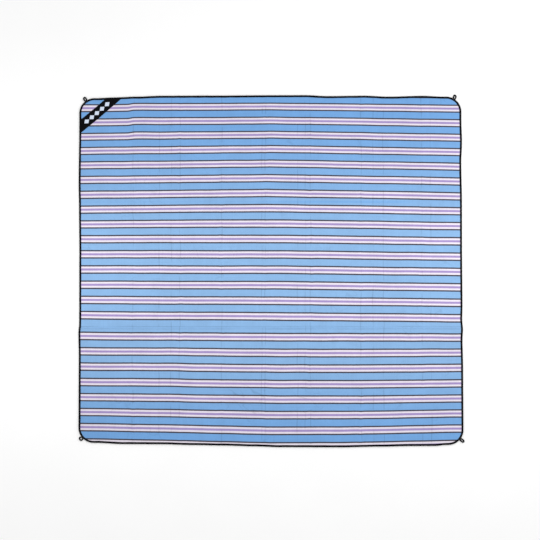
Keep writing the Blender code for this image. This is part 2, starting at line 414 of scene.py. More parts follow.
def closed_layer(name, rows, columns, low, high, phase, material):
    """A layer of the blanket, as a thin closed solid. rows are places along Y, columns are shares of
    the half width, and low and high give its two faces' heights by distance from the edge."""
    y = np.repeat(np.array(rows)[:, None], len(columns), axis=1)
    x = np.array(columns)[None, :] * half_width(y, LAYER_INSET)
    depth = inset_at(x, y)
    top, bottom = lay(x, y, high(depth)), lay(x, y, low(depth))
    places = stripe_place(top) + (0.0, phase)
    cells = np.arange(x.size).reshape(x.shape)
    return closed_sheet(name, cells, top, bottom, places, material)


def tube(rings):
    """Faces that join a run of closed rings, each given as a row of point numbers, and close its ends."""
    faces = []
    for first, second in zip(rings, rings[1:]):
        faces += np.stack([first, np.roll(first, -1), np.roll(second, -1), second], axis=-1).tolist()
    return faces + [rings[0][::-1].tolist(), rings[-1].tolist()]


def swept(name, points, places, material, sharp_deg=40.0):
    """A closed solid through rings of points: one row of the array for each ring."""
    count, around = points.shape[:2]
    rings = np.arange(count * around).reshape(count, around)
    return add_mesh(name, points, tube(list(rings)), places, material, sharp_deg)


def by_inset(knots):
    """A height profile from the edge inwards, given as (inset, height) knots."""
    return lambda inset: eased(inset, knots)


def panel_rows(step, back_limit, front_limit, bend_y, bend):
    """Rows along Y between two limits, close together where the fabric bends and round the corners."""
    straight_back = min(back_limit, CORNER_Y)
    straight_front = max(front_limit, -CORNER_Y)
    bend_front = max(bend_y - bend, straight_front)
    bend_back = min(bend_y + bend, straight_back)
    rows = spaced(straight_front, bend_front, step) + spaced(bend_front, bend_back, BEND_STEP)
    rows += spaced(bend_back, straight_back, step) + [straight_back]
    round_corner = np.sin(np.linspace(0.0, math.pi / 2, CORNER_STEPS + 1)[1:])
    if back_limit > CORNER_Y:
        rows += list(CORNER_Y + (back_limit - CORNER_Y) * round_corner)
    if front_limit < -CORNER_Y:
        rows = list((-CORNER_Y - (-CORNER_Y - front_limit) * round_corner)[::-1]) + rows
    return rows


def panel_columns(step):
    """Columns as shares of the half width, close together near the sides."""
    near = [0.0, 0.003, 0.006, BINDING_LEG - LAYER_INSET, 0.0125, SLOPE_END - LAYER_INSET, 0.022, 0.031]
    sides = [1.0 - d / HALF_WIDTH for d in near]
    inner = list(np.linspace(sides[-1], -sides[-1], math.ceil(2 * HALF_WIDTH / step) + 1)[1:-1])
    return [-s for s in sides] + inner[::-1] + sides[::-1]


# -------- materials
def sign(operation):
    """A sign between values that adds a maths node to their tree."""
    return lambda value, other=0.0: value.nodes.math(operation, value, other)


class Value:
    """A number inside a node tree. Python's own signs add the nodes that work it out."""

    def __init__(self, nodes, socket):
        self.nodes = nodes
        self.socket = socket

    __add__ = __radd__ = sign("ADD")
    __sub__ = sign("SUBTRACT")
    __mul__ = __rmul__ = sign("MULTIPLY")
    __truediv__ = sign("DIVIDE")
    __abs__ = sign("ABSOLUTE")


class Nodes:
    """Builds a material's node tree with short calls."""

    def __init__(self, name):
        self.material = bpy.data.materials.new(name)
        self.material.use_nodes = True
        self.tree = self.material.node_tree
        self.shader = self.tree.nodes["Principled BSDF"]

    def put(self, kind, settings=None, inputs=None):
        node = self.tree.nodes.new("ShaderNode" + kind)
        for key, value in (settings or {}).items():
            setattr(node, key, value)
        for key, value in (inputs or {}).items():
            self.feed(node.inputs[key], value)
        return node

    def feed(self, socket, value):
        if isinstance(value, Value):
            value = value.socket
        if isinstance(value, bpy.types.NodeSocket):
            self.tree.links.new(value, socket)
        else:
            socket.default_value = value

    def math(self, operation, first, second=0.0):
        node = self.put("Math", {"operation": operation}, {0: first, 1: second})
        return Value(self, node.outputs[0])

    def wave(self, value, length):
        """A sine wave from 0 to 1."""
        return 0.5 + 0.5 * self.math("SINE", value * (math.tau / length))

    def ease(self, value, low, high, to_low=0.0, to_high=1.0):
        node = self.put("MapRange", {"interpolation_type": "SMOOTHSTEP"}, {
            "Value": value, "From Min": low, "From Max": high, "To Min": to_low, "To Max": to_high,
        })
        return Value(self, node.outputs["Result"])

    def noise(self, vector, scale, detail=2.0, roughness=0.5):
        node = self.put("TexNoise", {}, {
            "Vector": vector, "Scale": scale, "Detail": detail, "Roughness": roughness,
        })
        return Value(self, node.outputs["Fac"])

    def mix(self, share, first, second, blend="MIX"):
        node = self.put("Mix", {"data_type": "RGBA", "blend_type": blend}, {6: first, 7: second})
        self.feed(node.inputs["Factor"], share)
        return node.outputs[2]

    def stretched(self, vector, x, y):
        return self.put("VectorMath", {"operation": "MULTIPLY"}, {0: vector, 1: (x, y, 1.0)}).outputs[0]

    def split(self, vector):
        return [Value(self, socket) for socket in self.put("SeparateXYZ", {}, {0: vector}).outputs]

    def uv(self):
        """The place on the piece, in metres, and its two parts."""
        place = self.put("UVMap", {"uv_map": "UVMap"}).outputs[0]
        return place, *self.split(place)[:2]

    def shade(self, colour, value):
        """A colour made lighter or darker by a value around 1."""
        return self.put("VectorMath", {"operation": "SCALE"}, {0: colour, "Scale": value}).outputs[0]

    def bump(self, height, distance, strength=1.0, under=None):
        inputs = {"Height": height, "Distance": distance, "Strength": strength}
        if under is not None:
            inputs["Normal"] = under
        return self.put("Bump", {}, inputs).outputs[0]

    def finish(self, colour, roughness, normal=None, **constants):
        self.feed(self.shader.inputs["Base Color"], colour)
        self.feed(self.shader.inputs["Roughness"], roughness)
        if normal is not None:
            self.feed(self.shader.inputs["Normal"], normal)
        for key, value in constants.items():
            self.shader.inputs[key.replace("_", " ")].default_value = value
        return self.material


BLUE = (0.150, 0.352, 0.690, 1.0)
# Painted highlight: the paler blue painted on the middle of the blanket, for the overhead light's sheen
PAINTED_HIGHLIGHT_BLUE = (0.228, 0.420, 0.695, 1.0)
WHITE = (0.750, 0.692, 0.785, 1.0)
PURPLE = (0.342, 0.256, 0.520, 1.0)
DARK = (0.045, 0.042, 0.062, 1.0)
BLACK = (0.003, 0.003, 0.0045, 1.0)
THREAD_PITCH = 0.0011
STRIPE_BLUR = 0.0004


def weave_height(n, u, v, pitch):
    """Height of a plain weave: threads along u and v that pass over and under each other."""
    turn = math.tau / pitch
    return 0.5 + 0.5 * n.math("SINE", u * turn) * n.math("SINE", v * turn)


def stripe_colours(n, uv, u, v, y):
    """Purple, white and dark lines on blue, as they lie on the blanket."""
    # The stripes' own edges follow the threads, so they waver by part of a millimetre
    waver = n.noise(n.stretched(uv, 90.0, 700.0), 1.0, 1.0) - 0.5
    turns = (v + waver * 0.0012) / STRIPE_REPEAT + 0.5
    away = abs((n.math("FRACT", turns) - 0.5) * STRIPE_REPEAT)
    # Painted highlight: the middle of the blanket is painted paler, standing in for the sheen of the overhead
    # light
    painted_highlight = n.ease(y, 0.16, 0.98, 1.0, 0.0) * n.ease(y, -1.02, -0.46)
    blue = n.mix(painted_highlight, BLUE, PAINTED_HIGHLIGHT_BLUE)
    colour = PURPLE
    for half, beyond in ((PURPLE_HALF, WHITE), (WHITE_HALF, DARK), (DARK_HALF, blue)):
        colour = n.mix(n.ease(away, half - STRIPE_BLUR, half + STRIPE_BLUR), colour, beyond)
    # The cloth shades itself in the back fold's valley, deepest on the right
    valley = n.ease(abs(y - VALLEY_Y), 0.002, 0.010, 1.0, 0.0)
    deep = n.ease(u, -0.3, 0.3, 0.3, 1.0) * n.ease(u, 0.70, 0.85, 1.0, 0.1)
    return n.mix(valley * deep, colour, (0.80, 0.92, 1.0, 1.0), "MULTIPLY")


def cloth_level(n, uv, u, y, patches):
    """How light the cloth is, around 1."""
    # Single weft threads are a little lighter or darker, in long streaks; washing left soft patches
    streaks = n.noise(n.stretched(uv, 2.2, 420.0), 1.0, 2.0, 0.6)
    warp = n.noise(n.stretched(uv, 240.0, 3.0), 1.0, 1.0, 0.5)
    clouds = n.noise(uv, 3.2, 2.0, 0.5)
    level = 1.0
    for share, swing in ((streaks, 0.045), (warp, 0.020), (patches, 0.035), (clouds, 0.025)):
        level = level * n.ease(share, 0.25, 0.75, 1.0 - swing, 1.0 + swing)
    # Painted light and shade: both sides are painted a little paler halfway along the mat, and the front left
    # corner a little darker
    halfway = n.ease(y, -0.42, -0.15) * n.ease(y, 0.20, 0.42, 1.0, 0.0)
    sides = n.ease(u, -1.05, -0.50, 0.065, 0.0) + n.ease(u, 0.55, 1.0, 0.0, 0.040)
    corner = n.ease(u, -1.0, -0.55, 0.060, 0.0) * n.ease(y, -0.92, -0.55, 1.0, 0.0)
    return level + (halfway * sides - corner)


def painted_shade_lines(n, uv, u, y):
    """How much darker the cloth is painted with shade along its old folds, its crinkles and the panel seam's
    edges.
    """
    # Painted crease shade: old fold lines across the stripes are painted darker, and come and go
    wander = (n.noise(uv, 5.0, 1.0) - 0.5) * 0.020
    painted_shade = 0.0
    for crease in CREASES_X + SMALL_CREASES_X:
        painted_shade = painted_shade + n.ease(abs(u + wander - crease), 0.0, 0.0045, 1.0, 0.0)
    painted_shade = painted_shade * n.ease(n.noise(n.stretched(uv, 5.0, 9.0), 1.0, 2.0), 0.44, 0.60)

    # Painted shade of crinkles: short dark lines that run slantwise and bend, clearest where the cloth has
    # been crumpled
    slant = n.put("VectorRotate", {"rotation_type": "Z_AXIS"}, {"Vector": uv, "Angle": math.radians(28)})
    bent = n.noise(n.stretched(slant.outputs[0], 7.0, 15.0), 1.0, 1.0, 0.4)
    crinkles = n.ease(abs(bent - 0.5), 0.0, 0.013, 1.0, 0.0)
    crumpled = n.ease(n.noise(uv, 3.4, 1.0), 0.53, 0.62, 0.0, 0.6)
    for across, along, reach in CRUMPLED:
        aside, ahead = u - across, y - along
        near = n.ease(aside * aside + ahead * ahead, 0.3 * reach ** 2, reach ** 2, 1.0, 0.0)
        crumpled = n.math("MAXIMUM", crumpled, near)
    painted_shade = painted_shade + crinkles * crumpled * 0.8

    # Painted shadow: the cloth is painted darker along both edges of the panel seam, more in some places than
    # in others
    for edge in SEAM_SHADOW_EDGES_Y:
        dip = n.ease(n.noise(n.stretched(uv, 4.0, 60.0), 1.0, 1.0), 0.40, 0.62, 0.15, 1.0)
        painted_shade = painted_shade + n.ease(abs(y - edge), 0.0004, 0.0035, 1.1, 0.0) * dip
    return painted_shade


def striped_cloth():
    """Soft woven cloth: groups of dark, white, purple, white and dark stripes on blue."""
    n = Nodes("striped_cloth_weave")
    uv, u, v = n.uv()
    y = n.split(n.put("TexCoord").outputs["Object"])[1]
    patches = n.noise(uv, 16.0, 4.0, 0.55)
    weave = weave_height(n, u, v, THREAD_PITCH)
    # The cloth is painted darker with shade along its old folds, its crinkles and the panel seam's edges
    level = cloth_level(n, uv, u, y, patches) - painted_shade_lines(n, uv, u, y) * 0.20
    colour = n.shade(stripe_colours(n, uv, u, v, y), level * (0.965 + weave * 0.07))
    nap = n.noise(uv, 900.0, 2.0, 0.6)
    fine = n.bump(weave * 0.6 + nap * 0.4, 0.00025, 0.6)
    wrinkles = n.noise(n.stretched(uv, 26.0, 34.0), 1.0, 3.0, 0.55)
    return n.finish(
        colour, n.ease(patches, 0.3, 0.7, 0.62, 0.72), n.bump(wrinkles, 0.0012, 0.5, fine),
        Specular_IOR_Level=0.3, Sheen_Weight=0.10, Sheen_Roughness=0.5,
    )


def ribbed_tape(name, rib, roughness, speckle):
    """Black woven tape: fine ribs across it, and a dusty lighter tone where it has been scuffed."""
    n = Nodes(name)
    uv, u, v = n.uv()
    height = n.wave(u, rib) * 0.7 + n.wave(v, 0.0007) * 0.3
    dust = n.ease(n.noise(uv, 60.0, 4.0, 0.65), 0.45, 0.8)
    worn = tuple(c + speckle * 0.25 for c in BLACK[:3]) + (1.0,)
    colour = n.shade(n.mix(dust * speckle, BLACK, worn), 0.8 + height * 0.4)
    rough = n.ease(dust, 0.0, 1.0, roughness, roughness + 0.12)
    return n.finish(colour, rough, n.bump(height, 0.0002, 0.7), Specular_IOR_Level=0.035)


def thread_material(name, base):
    """Twisted sewing thread. u runs along each stitch."""
    n = Nodes(name)
    u, v = n.uv()[1:]
    height = n.wave(u + v, 0.0006)
    colour = n.shade(base, 0.85 + height * 0.25)
    return n.finish(colour, 0.55, n.bump(height, 0.0001, 0.6), Specular_IOR_Level=0.4)


def braided_cord():
    """Round braided cord: u runs along it, v round it. Two sets of strands cross each other."""
    n = Nodes("black_braided_cord")
    uv, u, v = n.uv()
    height = weave_height(n, u + v, u - v, 0.0024)
    fuzz = n.noise(uv, 1500.0, 2.0)
    colour = n.shade(n.mix(fuzz * 0.10, BLACK, (0.04, 0.04, 0.045, 1.0)), 0.6 + height * 0.8)
    rough = n.ease(fuzz, 0.3, 0.7, 0.55, 0.7)
    return n.finish(colour, rough, n.bump(height, 0.0005, 0.8), Specular_IOR_Level=0.05)


def coated_backing():
    """Waterproof backing: dark polyester with a ripstop grid, under a thin satin coating."""
    n = Nodes("coated_ripstop")
    uv, u, v = n.uv()
    grid = 0.0
    for line in (u, v):
        off = abs(n.math("FRACT", line / 0.006) - 0.5)
        grid = n.math("MAXIMUM", grid, n.ease(off, 0.0, 0.09, 1.0, 0.0))
    height = grid * 0.6 + weave_height(n, u, v, 0.0008) * 0.2
    creases = n.noise(n.stretched(uv, 9.0, 12.0), 1.0, 5.0, 0.6)
    patches = n.noise(uv, 7.0, 4.0, 0.6)
    level = n.ease(patches, 0.3, 0.7, 0.88, 1.05) + grid * 0.14
    dusty = n.ease(n.noise(uv, 2.5, 5.0, 0.7), 0.5, 0.75)
    colour = n.mix(dusty * 0.25, (0.040, 0.043, 0.050, 1.0), (0.075, 0.075, 0.078, 1.0))
    normal = n.bump(creases, 0.002, 0.6, n.bump(height, 0.0002, 0.7))
    return n.finish(
        n.shade(colour, level), n.ease(dusty, 0.0, 1.0, 0.38, 0.58), normal,
        Specular_IOR_Level=0.5, Coat_Weight=0.12, Coat_Roughness=0.35,
    )


def wadding():
    """White polyester wadding, tangled fibres."""
    n = Nodes("white_wadding")
    uv = n.uv()[0]
    fibres = n.noise(n.stretched(uv, 300.0, 900.0), 1.0, 6.0, 0.75)
    lumps = n.noise(uv, 60.0, 3.0)
    level = n.ease(fibres, 0.3, 0.7, 0.86, 1.04) * n.ease(lumps, 0.3, 0.7, 0.95, 1.03)
    colour = n.shade(n.mix(lumps, (0.78, 0.78, 0.76, 1.0), (0.86, 0.86, 0.85, 1.0)), level)
    return n.finish(colour, 0.95, n.bump(fibres, 0.0008, 0.8), Sheen_Weight=0.3, Sheen_Roughness=0.6)


def studio_floor_material():
    """A matt pale floor, very slightly uneven in tone."""
    n = Nodes("pale_floor")
    place = n.put("TexCoord").outputs["Object"]
    level = n.ease(n.noise(place, 3.0, 3.0), 0.3, 0.7, 0.995, 1.005)
    return n.finish(n.shade((0.99, 0.99, 0.99), level), 0.9, Specular_IOR_Level=0.2)


STRIPES = striped_cloth()
TAPE = ribbed_tape("black_binding_tape", 0.0010, 0.68, 0.08)
BAND = ribbed_tape("black_band_webbing", 0.0014, 0.62, 0.05)
EMBLEM = thread_material("white_satin_thread", (0.64, 0.72, 0.86))
BLACK_THREAD = thread_material("black_thread", (0.016, 0.016, 0.018))
BLUE_THREAD = thread_material("blue_thread", (0.16, 0.33, 0.62))
CORD = braided_cord()
BACKING = coated_backing()
WADDING = wadding()


def bend_long(piece):
    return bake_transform(piece)


def bend_short(piece):
    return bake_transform(piece)


def layer_profile(low, high, pinched):
    """The two faces' heights by distance from the edge: pinched inside the binding, full further in."""
    return [
        by_inset(((0.0, thin), (BINDING_LEG, thin), (SLOPE_END, full)))
        for thin, full in zip(pinched, (low, high))
    ]


def make_panels():
    """The long panel and the short panel, each of a backing, a padding and a striped cloth."""
    edge = HALF_LENGTH - LAYER_INSET
    limits = {
        "long": (edge, SEAM_BACK + PANEL_GAP, BACK_FOLD_Y, BACK_BEND, LONG_PANEL_PHASE),
        "short": (SEAM_FRONT - PANEL_GAP, -edge, FRONT_FOLD_Y, FRONT_BEND, SHORT_PANEL_PHASE),
    }
    layers = (
        ("backing", PADDING_STEP, 0.0, BACKING_TOP, PINCHED_BACKING, BACKING, "backing"),
        ("padding", PADDING_STEP, PADDING_LOW, PADDING_TOP, PINCHED_PADDING, WADDING, "padding"),
        ("top_cloth", CLOTH_STEP, CLOTH_LOW, CLOTH_TOP, PINCHED_CLOTH, STRIPES, "striped_cloth"),
    )
    made = {}
    for layer, step, low, high, pinched, material, slot in layers:
        lower, upper = layer_profile(low, high, pinched)
        for panel, (back_limit, front_limit, fold, bend, phase) in limits.items():
            rows = panel_rows(step, back_limit, front_limit, fold, bend)
            name = f"{layer}_{panel}_panel"
            piece = closed_layer(name, rows, panel_columns(step), lower, upper, phase, material)
            if panel == "long":
                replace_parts(bend_long(piece), f"{layer}_back", f"{layer}_middle")
            else:
                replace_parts(bend_short(piece), f"{layer}_front")
            made[name] = piece
    return made


# -------- the seam between the panels
def seam_run(name, profile, material):
    """A solid along the panel seam, through a closed profile of (y, height) points. Its two ends are
    pinched inside the binding, as the panels' layers are."""
    span = HALF_WIDTH - LAYER_INSET
    near = [0.0, 0.004, BINDING_LEG - LAYER_INSET, 0.0125, SLOPE_END - LAYER_INSET, 0.023]
    xs = [-span + d for d in near] + spaced(-span + 0.032, span - 0.032, 0.008)
    xs += [span - d for d in near[::-1]]
    x, y, z = np.broadcast_arrays(np.array(xs)[:, None], *np.transpose(profile)[:, None, :])
    inside = smooth((inset_at(x, y) - BINDING_LEG) / (SLOPE_END - BINDING_LEG))
    pinched = PINCHED_BACKING[0] + z / SEAM_TOP * (PINCHED_CLOTH[1] - PINCHED_BACKING[0])
    puffs = 0.00012 * ripples(x, y * 0.0, 0.02, 21) * (z > CLOTH_TOP)
    points = lay(x, y, pinched + (z - pinched + puffs) * inside)
    # Only the blue between two groups of lines shows on the seam
    places = stripe_place(points) + (0.0, SHORT_PANEL_PHASE - 0.010)
    return bend_short(swept(name, points, places, material))


def both_sides(middle, half):
    """A closed profile of (y, height) points round a middle line, from the (reach, height) points of
    its back half, which begins and ends on that line."""
    front = [(middle - reach, height) for reach, height in half[-2:0:-1]]
    return [(middle + reach, height) for reach, height in half] + front


def make_panel_seam():
    """A flat felled seam: the cloths folded together into a raised strip, with a row of stitches
    along both of its edges, and a sealing tape under it."""
    front, back = SEAM_FRONT + 0.0001, SEAM_BACK
    middle, reach = (front + back) / 2, (back - front) / 2
    low, high = BACKING_TOP + 0.0003, SEAM_TOP
    lip = reach + 0.0011
    sewn = reach * 0.52
    strip = seam_run("panel_seam_strip", both_sides(middle, [
        (0.0, low), (reach - 0.0008, low), (reach, low + 0.0003), (reach, CLOTH_TOP - 0.0003),
        (lip, CLOTH_TOP + 0.00005), (lip, high - 0.0002), (reach, high), (reach * 0.616, high - 0.00005),
        (sewn, high - 0.00035), (reach * 0.424, high - 0.00005), (0.0, high),
    ]), STRIPES)
    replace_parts(strip, "panel_seam")
    tape = seam_run("panel_seam_tape", both_sides(middle, [
        (0.0, 0.0), (reach - 0.0003, 0.0), (reach, 0.0002), (reach, BACKING_TOP), (0.0, BACKING_TOP),
    ]), BACKING)

    rows = []
    last = HALF_WIDTH - LAYER_INSET - BINDING_LEG
    xs = np.arange(-last, last, STITCH_PITCH)
    for y_row in (middle - sewn, middle + sewn):
        starts = np.stack([xs, np.full_like(xs, y_row)], axis=-1)
        rows.append(stitch_line(starts, STITCH_LENGTH, high - 0.00012, (1.0, 0.0)))
    sewing = make_stitches("panel_seam_stitches", rows, 0.0003, BLUE_THREAD)
    bend_short(sewing)


# -------- stitches
STITCH_RINGS = ((0.0, 0.25), (0.18, 1.0), (0.82, 1.0), (1.0, 0.25))
STITCH_SIDES = 5


def stitch_line(starts, length, height, direction):
    """Stitches that start at flat spots and run in one direction, or in one direction each: an array
    of (start x, start y, end x, end y, height)."""
    ends = starts + np.multiply(direction, length)
    return np.concatenate([starts, ends, np.full((len(starts), 1), height)], axis=1)


def make_stitches(name, rows, radius, material):
    """Every stitch is a short run of thread that dips into the cloth at both ends."""
    stitches = np.concatenate(rows)
    points, faces, places = [], [], []
    around = np.arange(STITCH_SIDES) * math.tau / STITCH_SIDES
    heading = stitches[:, 2:4] - stitches[:, 0:2]
    length = np.linalg.norm(heading, axis=1, keepdims=True)
    side = np.stack([-heading[:, 1], heading[:, 0]], axis=-1) / length
    per_stitch = len(STITCH_RINGS) * STITCH_SIDES
    for share, size in STITCH_RINGS:
        spot = stitches[:, 0:2] + heading * share
        dip = -radius * 0.9 * (1.0 - size)
        for angle in around:
            off = radius * size * math.cos(angle)
            up = radius * size * math.sin(angle) + dip
            points.append(lay(*(spot + side * off).T, stitches[:, 4] + up))
            places.append(np.hstack([length * share, np.full_like(length, angle * radius)]))
    points = np.stack(points, axis=1)
    places = np.stack(places, axis=1)
    rings = np.arange(per_stitch).reshape(len(STITCH_RINGS), STITCH_SIDES)
    pattern = tube(list(rings))
    for k in range(len(stitches)):
        faces += [[corner + k * per_stitch for corner in face] for face in pattern]
    return add_mesh(name, points, faces, places, material, 80.0)


# -------- the binding
def tape_profile():
    """The tape's U as (inset, height) points, from the lower leg's edge round to the upper one's and
    back along its inside. The stitches press a groove into both legs."""
    leg, top, groove = BINDING_LEG, BINDING_TOP, STITCH_INSET
    lower = [
        (leg, 0.0001), (groove + 0.0008, 0.0), (groove, 0.0003), (groove - 0.0008, 0.0), (0.0045, 0.0),
        (0.0019, 0.0002), (0.0006, 0.0009), (0.0, 0.0021),
    ]
    upper = [(inset, top - height) for inset, height in lower[::-1]]
    inner = [
        (leg, top - TAPE_THICKNESS), (0.0040, top - TAPE_THICKNESS), (0.0020, 0.0051), (0.0009, 0.0041),
    ]
    return lower + upper + inner + [(inset, top - height) for inset, height in inner[::-1]]


def edge_path(side, seam_y, fold_y, bend, step):
    """Round one end of the blanket along its edge: rows of (x, y, outward x, outward y). side is 1 for
    the back end and -1 for the front end. The path starts and ends at the seam."""
    bend_near, bend_far = sorted((side * (fold_y - bend), side * (fold_y + bend)))
    start = side * seam_y
    run = []
    if bend_near > start + 1e-6:
        run += spaced(start, bend_near, step)
    run += spaced(max(bend_near, start), bend_far, BEND_STEP) + spaced(bend_far, CORNER_Y, step)
    path = [(-HALF_WIDTH, y, -1.0, 0.0) for y in run]
    for centre_x, first, last in ((-CORNER_X, math.pi, math.pi / 2), (CORNER_X, math.pi / 2, 0.0)):
        for angle in np.linspace(first, last, 2 * CORNER_STEPS + 1):
            out = (math.cos(angle), math.sin(angle))
            path.append((centre_x + CORNER_RADIUS * out[0], CORNER_Y + CORNER_RADIUS * out[1], *out))
        if centre_x < 0:
            path += [(x, HALF_LENGTH, 0.0, 1.0) for x in spaced(-CORNER_X, CORNER_X, step)[1:]]
    path += [(HALF_WIDTH, y, 1.0, 0.0) for y in run[::-1]]
    return np.array(path) * (1.0, side, 1.0, side)


def lengths_along(spots):
    """How far along a line of spots each of them is."""
    return np.concatenate([[0.0], np.cumsum(np.linalg.norm(np.diff(spots, axis=0), axis=1))])


def walk(path, pitch):
    """Evenly spaced rows along a path of (x, y, outward x, outward y) rows."""
    length = lengths_along(path[:, :2])
    at = np.arange(pitch, length[-1] - pitch, pitch)
    return np.stack([np.interp(at, length, path[:, k]) for k in range(4)], axis=-1)


def make_binding(panel, side, seam_y, fold_y, bend, nodes):
    """Tape folded over the edge of one panel, with a row of stitches above and below."""
    path = edge_path(side, seam_y, fold_y, bend, CLOTH_STEP)
    length = lengths_along(path[:, :2])
    profile = np.array(tape_profile())
    inset, z = profile[None, :, 0], profile[None, :, 1]
    # The tape isn't laid down quite evenly: its inner edge wavers, and it puffs up between stitches
    waver = ripples(length, 0.0, 0.06, 31 + side)[:, None] * 0.0004
    inset = inset + waver * smooth((inset - 0.003) / 0.005)
    puff = ripples(length, 0.0, 0.018, 35 + side)[:, None] * 0.00015
    z = z + puff * smooth((z - 0.0045) / 0.001)
    x = path[:, 0:1] - path[:, 2:3] * inset
    y = path[:, 1:2] - path[:, 3:4] * inset
    points = lay(x, y, z)
    places = np.stack(np.broadcast_arrays(length[:, None], lengths_along(profile)[None, :]), axis=-1)
    tape = swept(f"binding_{panel}_panel", points[::side], places[::side], TAPE)
    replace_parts(tape, *nodes)

    rows = walk(path, STITCH_PITCH)
    along = np.stack([rows[:, 3], -rows[:, 2]], axis=-1) * side
    along /= np.linalg.norm(along, axis=1, keepdims=True)
    spots = rows[:, :2] - rows[:, 2:4] * STITCH_INSET
    above = stitch_line(spots, STITCH_LENGTH, BINDING_TOP - 0.0002, along)
    below = stitch_line(spots, STITCH_LENGTH, 0.00028, along)
    return tape, [above, below]


# -------- peg loops
CORD_HALF_WIDTH = 0.0039
CORD_HALF_HEIGHT = 0.0029
CORD_HEIGHT = 0.0030
LOOP_NECK = 0.0086
LOOP_CLEARANCE = 0.0005
LOOP_ROOT = 0.0065
LOOP_STEPS = 56
CORD_SIDES = 16

# As in the CAD: the bearing of the loop round its corner, how far it reaches out, how full it is, and
# how far its tip leans to the left, seen from its root
LOOPS = {
    "back_left": {"sign": (-1, 1), "bearing": 124, "reach": 0.0215, "fullness": 0.0075, "lean": 0.0},
    "back_right": {"sign": (1, 1), "bearing": 59, "reach": 0.0215, "fullness": 0.0075, "lean": 0.0045},
    "front_left": {"sign": (-1, -1), "bearing": 221, "reach": 0.0170, "fullness": 0.0120, "lean": 0.0},
    "front_right": {"sign": (1, -1), "bearing": 322, "reach": 0.0250, "fullness": 0.0055, "lean": 0.0},
}


def loop_line(reach, fullness, lean):
    """The cord's centre line as (out, across) from the loop's root, both ends inside the binding."""
    share = np.linspace(0.0, 1.0, LOOP_STEPS + 1)
    out = np.sin(share * math.pi)
    across = np.cos(share * math.pi) * (LOOP_NECK / 2 + fullness * out)
    spots = np.stack([LOOP_CLEARANCE + (reach - LOOP_CLEARANCE) * out, across + lean * out * out], axis=-1)
    inner = np.linspace(-LOOP_ROOT, 0.0, 5)[:-1, None]
    first, last = [np.hstack([inner, np.full_like(inner, spots[k, 1])]) for k in (0, -1)]
    return np.concatenate([first, spots, last[::-1]])


def make_peg_loop(corner, sign, bearing, reach, fullness, lean):
    """A loop of round cord, set where lay() moves the corner's edge. Its ends are flattened between the
    binding's two legs."""
    turn = math.radians(bearing)
    outward = np.array([math.cos(turn), math.sin(turn)])
    left = np.array([-outward[1], outward[0]])
    root = np.array(sign) * (CORNER_X, CORNER_Y) + outward * CORNER_RADIUS
    line = loop_line(reach, fullness, lean)
    travel = np.gradient(line, axis=0)
    travel /= np.linalg.norm(travel, axis=1, keepdims=True)
    side = np.stack([travel[:, 1], -travel[:, 0]], axis=-1)
    angles = np.arange(CORD_SIDES) * math.tau / CORD_SIDES
    flat = smooth((-line[:, 0] + 0.001) / 0.004)[:, None]
    wide = CORD_HALF_WIDTH * (1.0 + 0.10 * flat) * np.cos(angles)
    high = CORD_HALF_HEIGHT * (1.0 - 0.55 * flat) * np.sin(angles)
    spot = line[:, None, :] + side[:, None, :] * wide[..., None]
    ground = root + spot[..., 0:1] * outward + spot[..., 1:2] * left
    moved = lay(root[:1], root[1:], np.zeros(1))[0] - (*root, 0.0)
    droop = smooth(line[:, 0:1] / 0.012)
    points = np.concatenate([ground, (CORD_HEIGHT + high)[..., None]], axis=-1)
    points[..., :2] += moved[:2]
    points[..., 2] += moved[2] * (1.0 - droop)
    round_it = angles[None, :] * CORD_HALF_WIDTH
    places = np.stack(np.broadcast_arrays(lengths_along(line)[:, None], round_it), axis=-1)
    loop = swept(f"peg_loop_cord_{corner}", points, places, CORD, 80.0)
    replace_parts(loop, f"peg_loop_{corner}")
    part = corner.split("_")[0]
    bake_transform(loop)
    return bar_tack(root, outward, left)


def bar_tack(root, outward, left):
    """Close zigzag stitches across the binding, over the cord's two ends."""
    starts = root - outward * 0.0016 + left * np.linspace(-0.0075, 0.0075, 15)[:, None]
    return stitch_line(starts, 1.0, BINDING_TOP + 0.00008, left * 0.0005 - outward * 0.0052)


# -------- the corner band
BAND_WIDTH = 0.0613
BAND_TURN = math.radians(41.0)
BAND_DISTANCE = 1.3472
BAND_ALONG = np.array([math.cos(BAND_TURN), math.sin(BAND_TURN)])
BAND_OUT = np.array([-math.sin(BAND_TURN), math.cos(BAND_TURN)])
EMBLEM_COUNT = 5
EMBLEM_PITCH = 0.0385
EMBLEM_HALF = (0.0180, 0.0148)
EMBLEM_SIDES = 32
# From its rim to its middle: each ring's share of the size, and its height over the webbing
EMBLEM_RINGS = ((1.0, -0.0001), (0.97, 0.00022), (0.80, 0.00036), (0.45, 0.00044))
BAND_TUCK = 0.0070
BAND_BOTTOM = by_inset(((0.006, 0.00502), (BINDING_LEG, 0.00505), (SLOPE_END, CLOTH_TOP + 0.0001)))
BAND_TOP = by_inset(((0.006, 0.00528), (BINDING_LEG, 0.0054), (0.0150, 0.0059), (SLOPE_END, 0.0061)))


def band_spot(along, out):
    """The flat spot this far along the band and this far out from its middle line."""
    along, out = np.asarray(along)[..., None], np.asarray(out)[..., None]
    return BAND_OUT * (BAND_DISTANCE + out) + BAND_ALONG * along


def band_reach(off):
    """Where a line along the band, this far out from its middle, meets the binding at its two ends."""
    return ((BAND_TUCK - HALF_WIDTH, HALF_LENGTH - BAND_TUCK) - band_spot(0.0, off)) / BAND_ALONG


